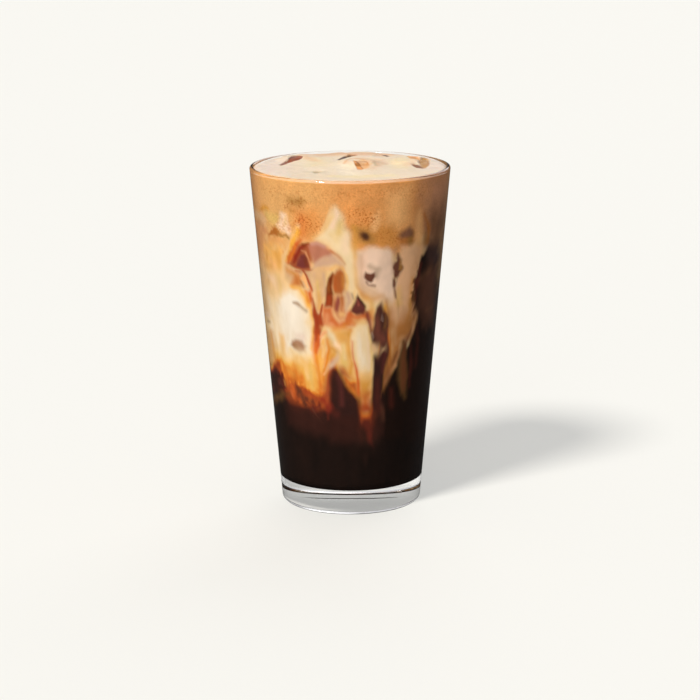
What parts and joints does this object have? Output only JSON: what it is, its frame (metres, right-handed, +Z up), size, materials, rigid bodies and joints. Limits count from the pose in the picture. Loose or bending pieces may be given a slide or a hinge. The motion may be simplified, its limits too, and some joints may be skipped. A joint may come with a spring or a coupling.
{
  "type": "iced shaken espresso",
  "caption": "Tapered pint glass full of iced shaken espresso: dark coffee below, marbled milk, thick foam and ice cubes at the top.",
  "frame": {"origin": "centre of the glass's foot, on the surface that it stands on", "axes": "+Z up along the glass's axis; -Y towards the side that the picture shows, +X to its right"},
  "size_m": [0.0888, 0.0888, 0.1543],
  "materials": {
    "glass": "clear, colourless, polished",
    "espresso": "near-black coffee, wet",
    "milk": "milk marbled with coffee, cream to golden brown, wet",
    "foam": "fine creamy foam, pale on top and light brown at the side",
    "ice": "clear ice tinted by the coffee, wet"
  },
  "bodies": {
    "root": {"glass": "glass", "espresso": "espresso", "milk": "milk", "foam": "foam", "ice_1": "ice", "ice_2": "ice", "ice_3": "ice", "ice_4": "ice", "ice_5": "ice"}
  },
  "joints": []
}
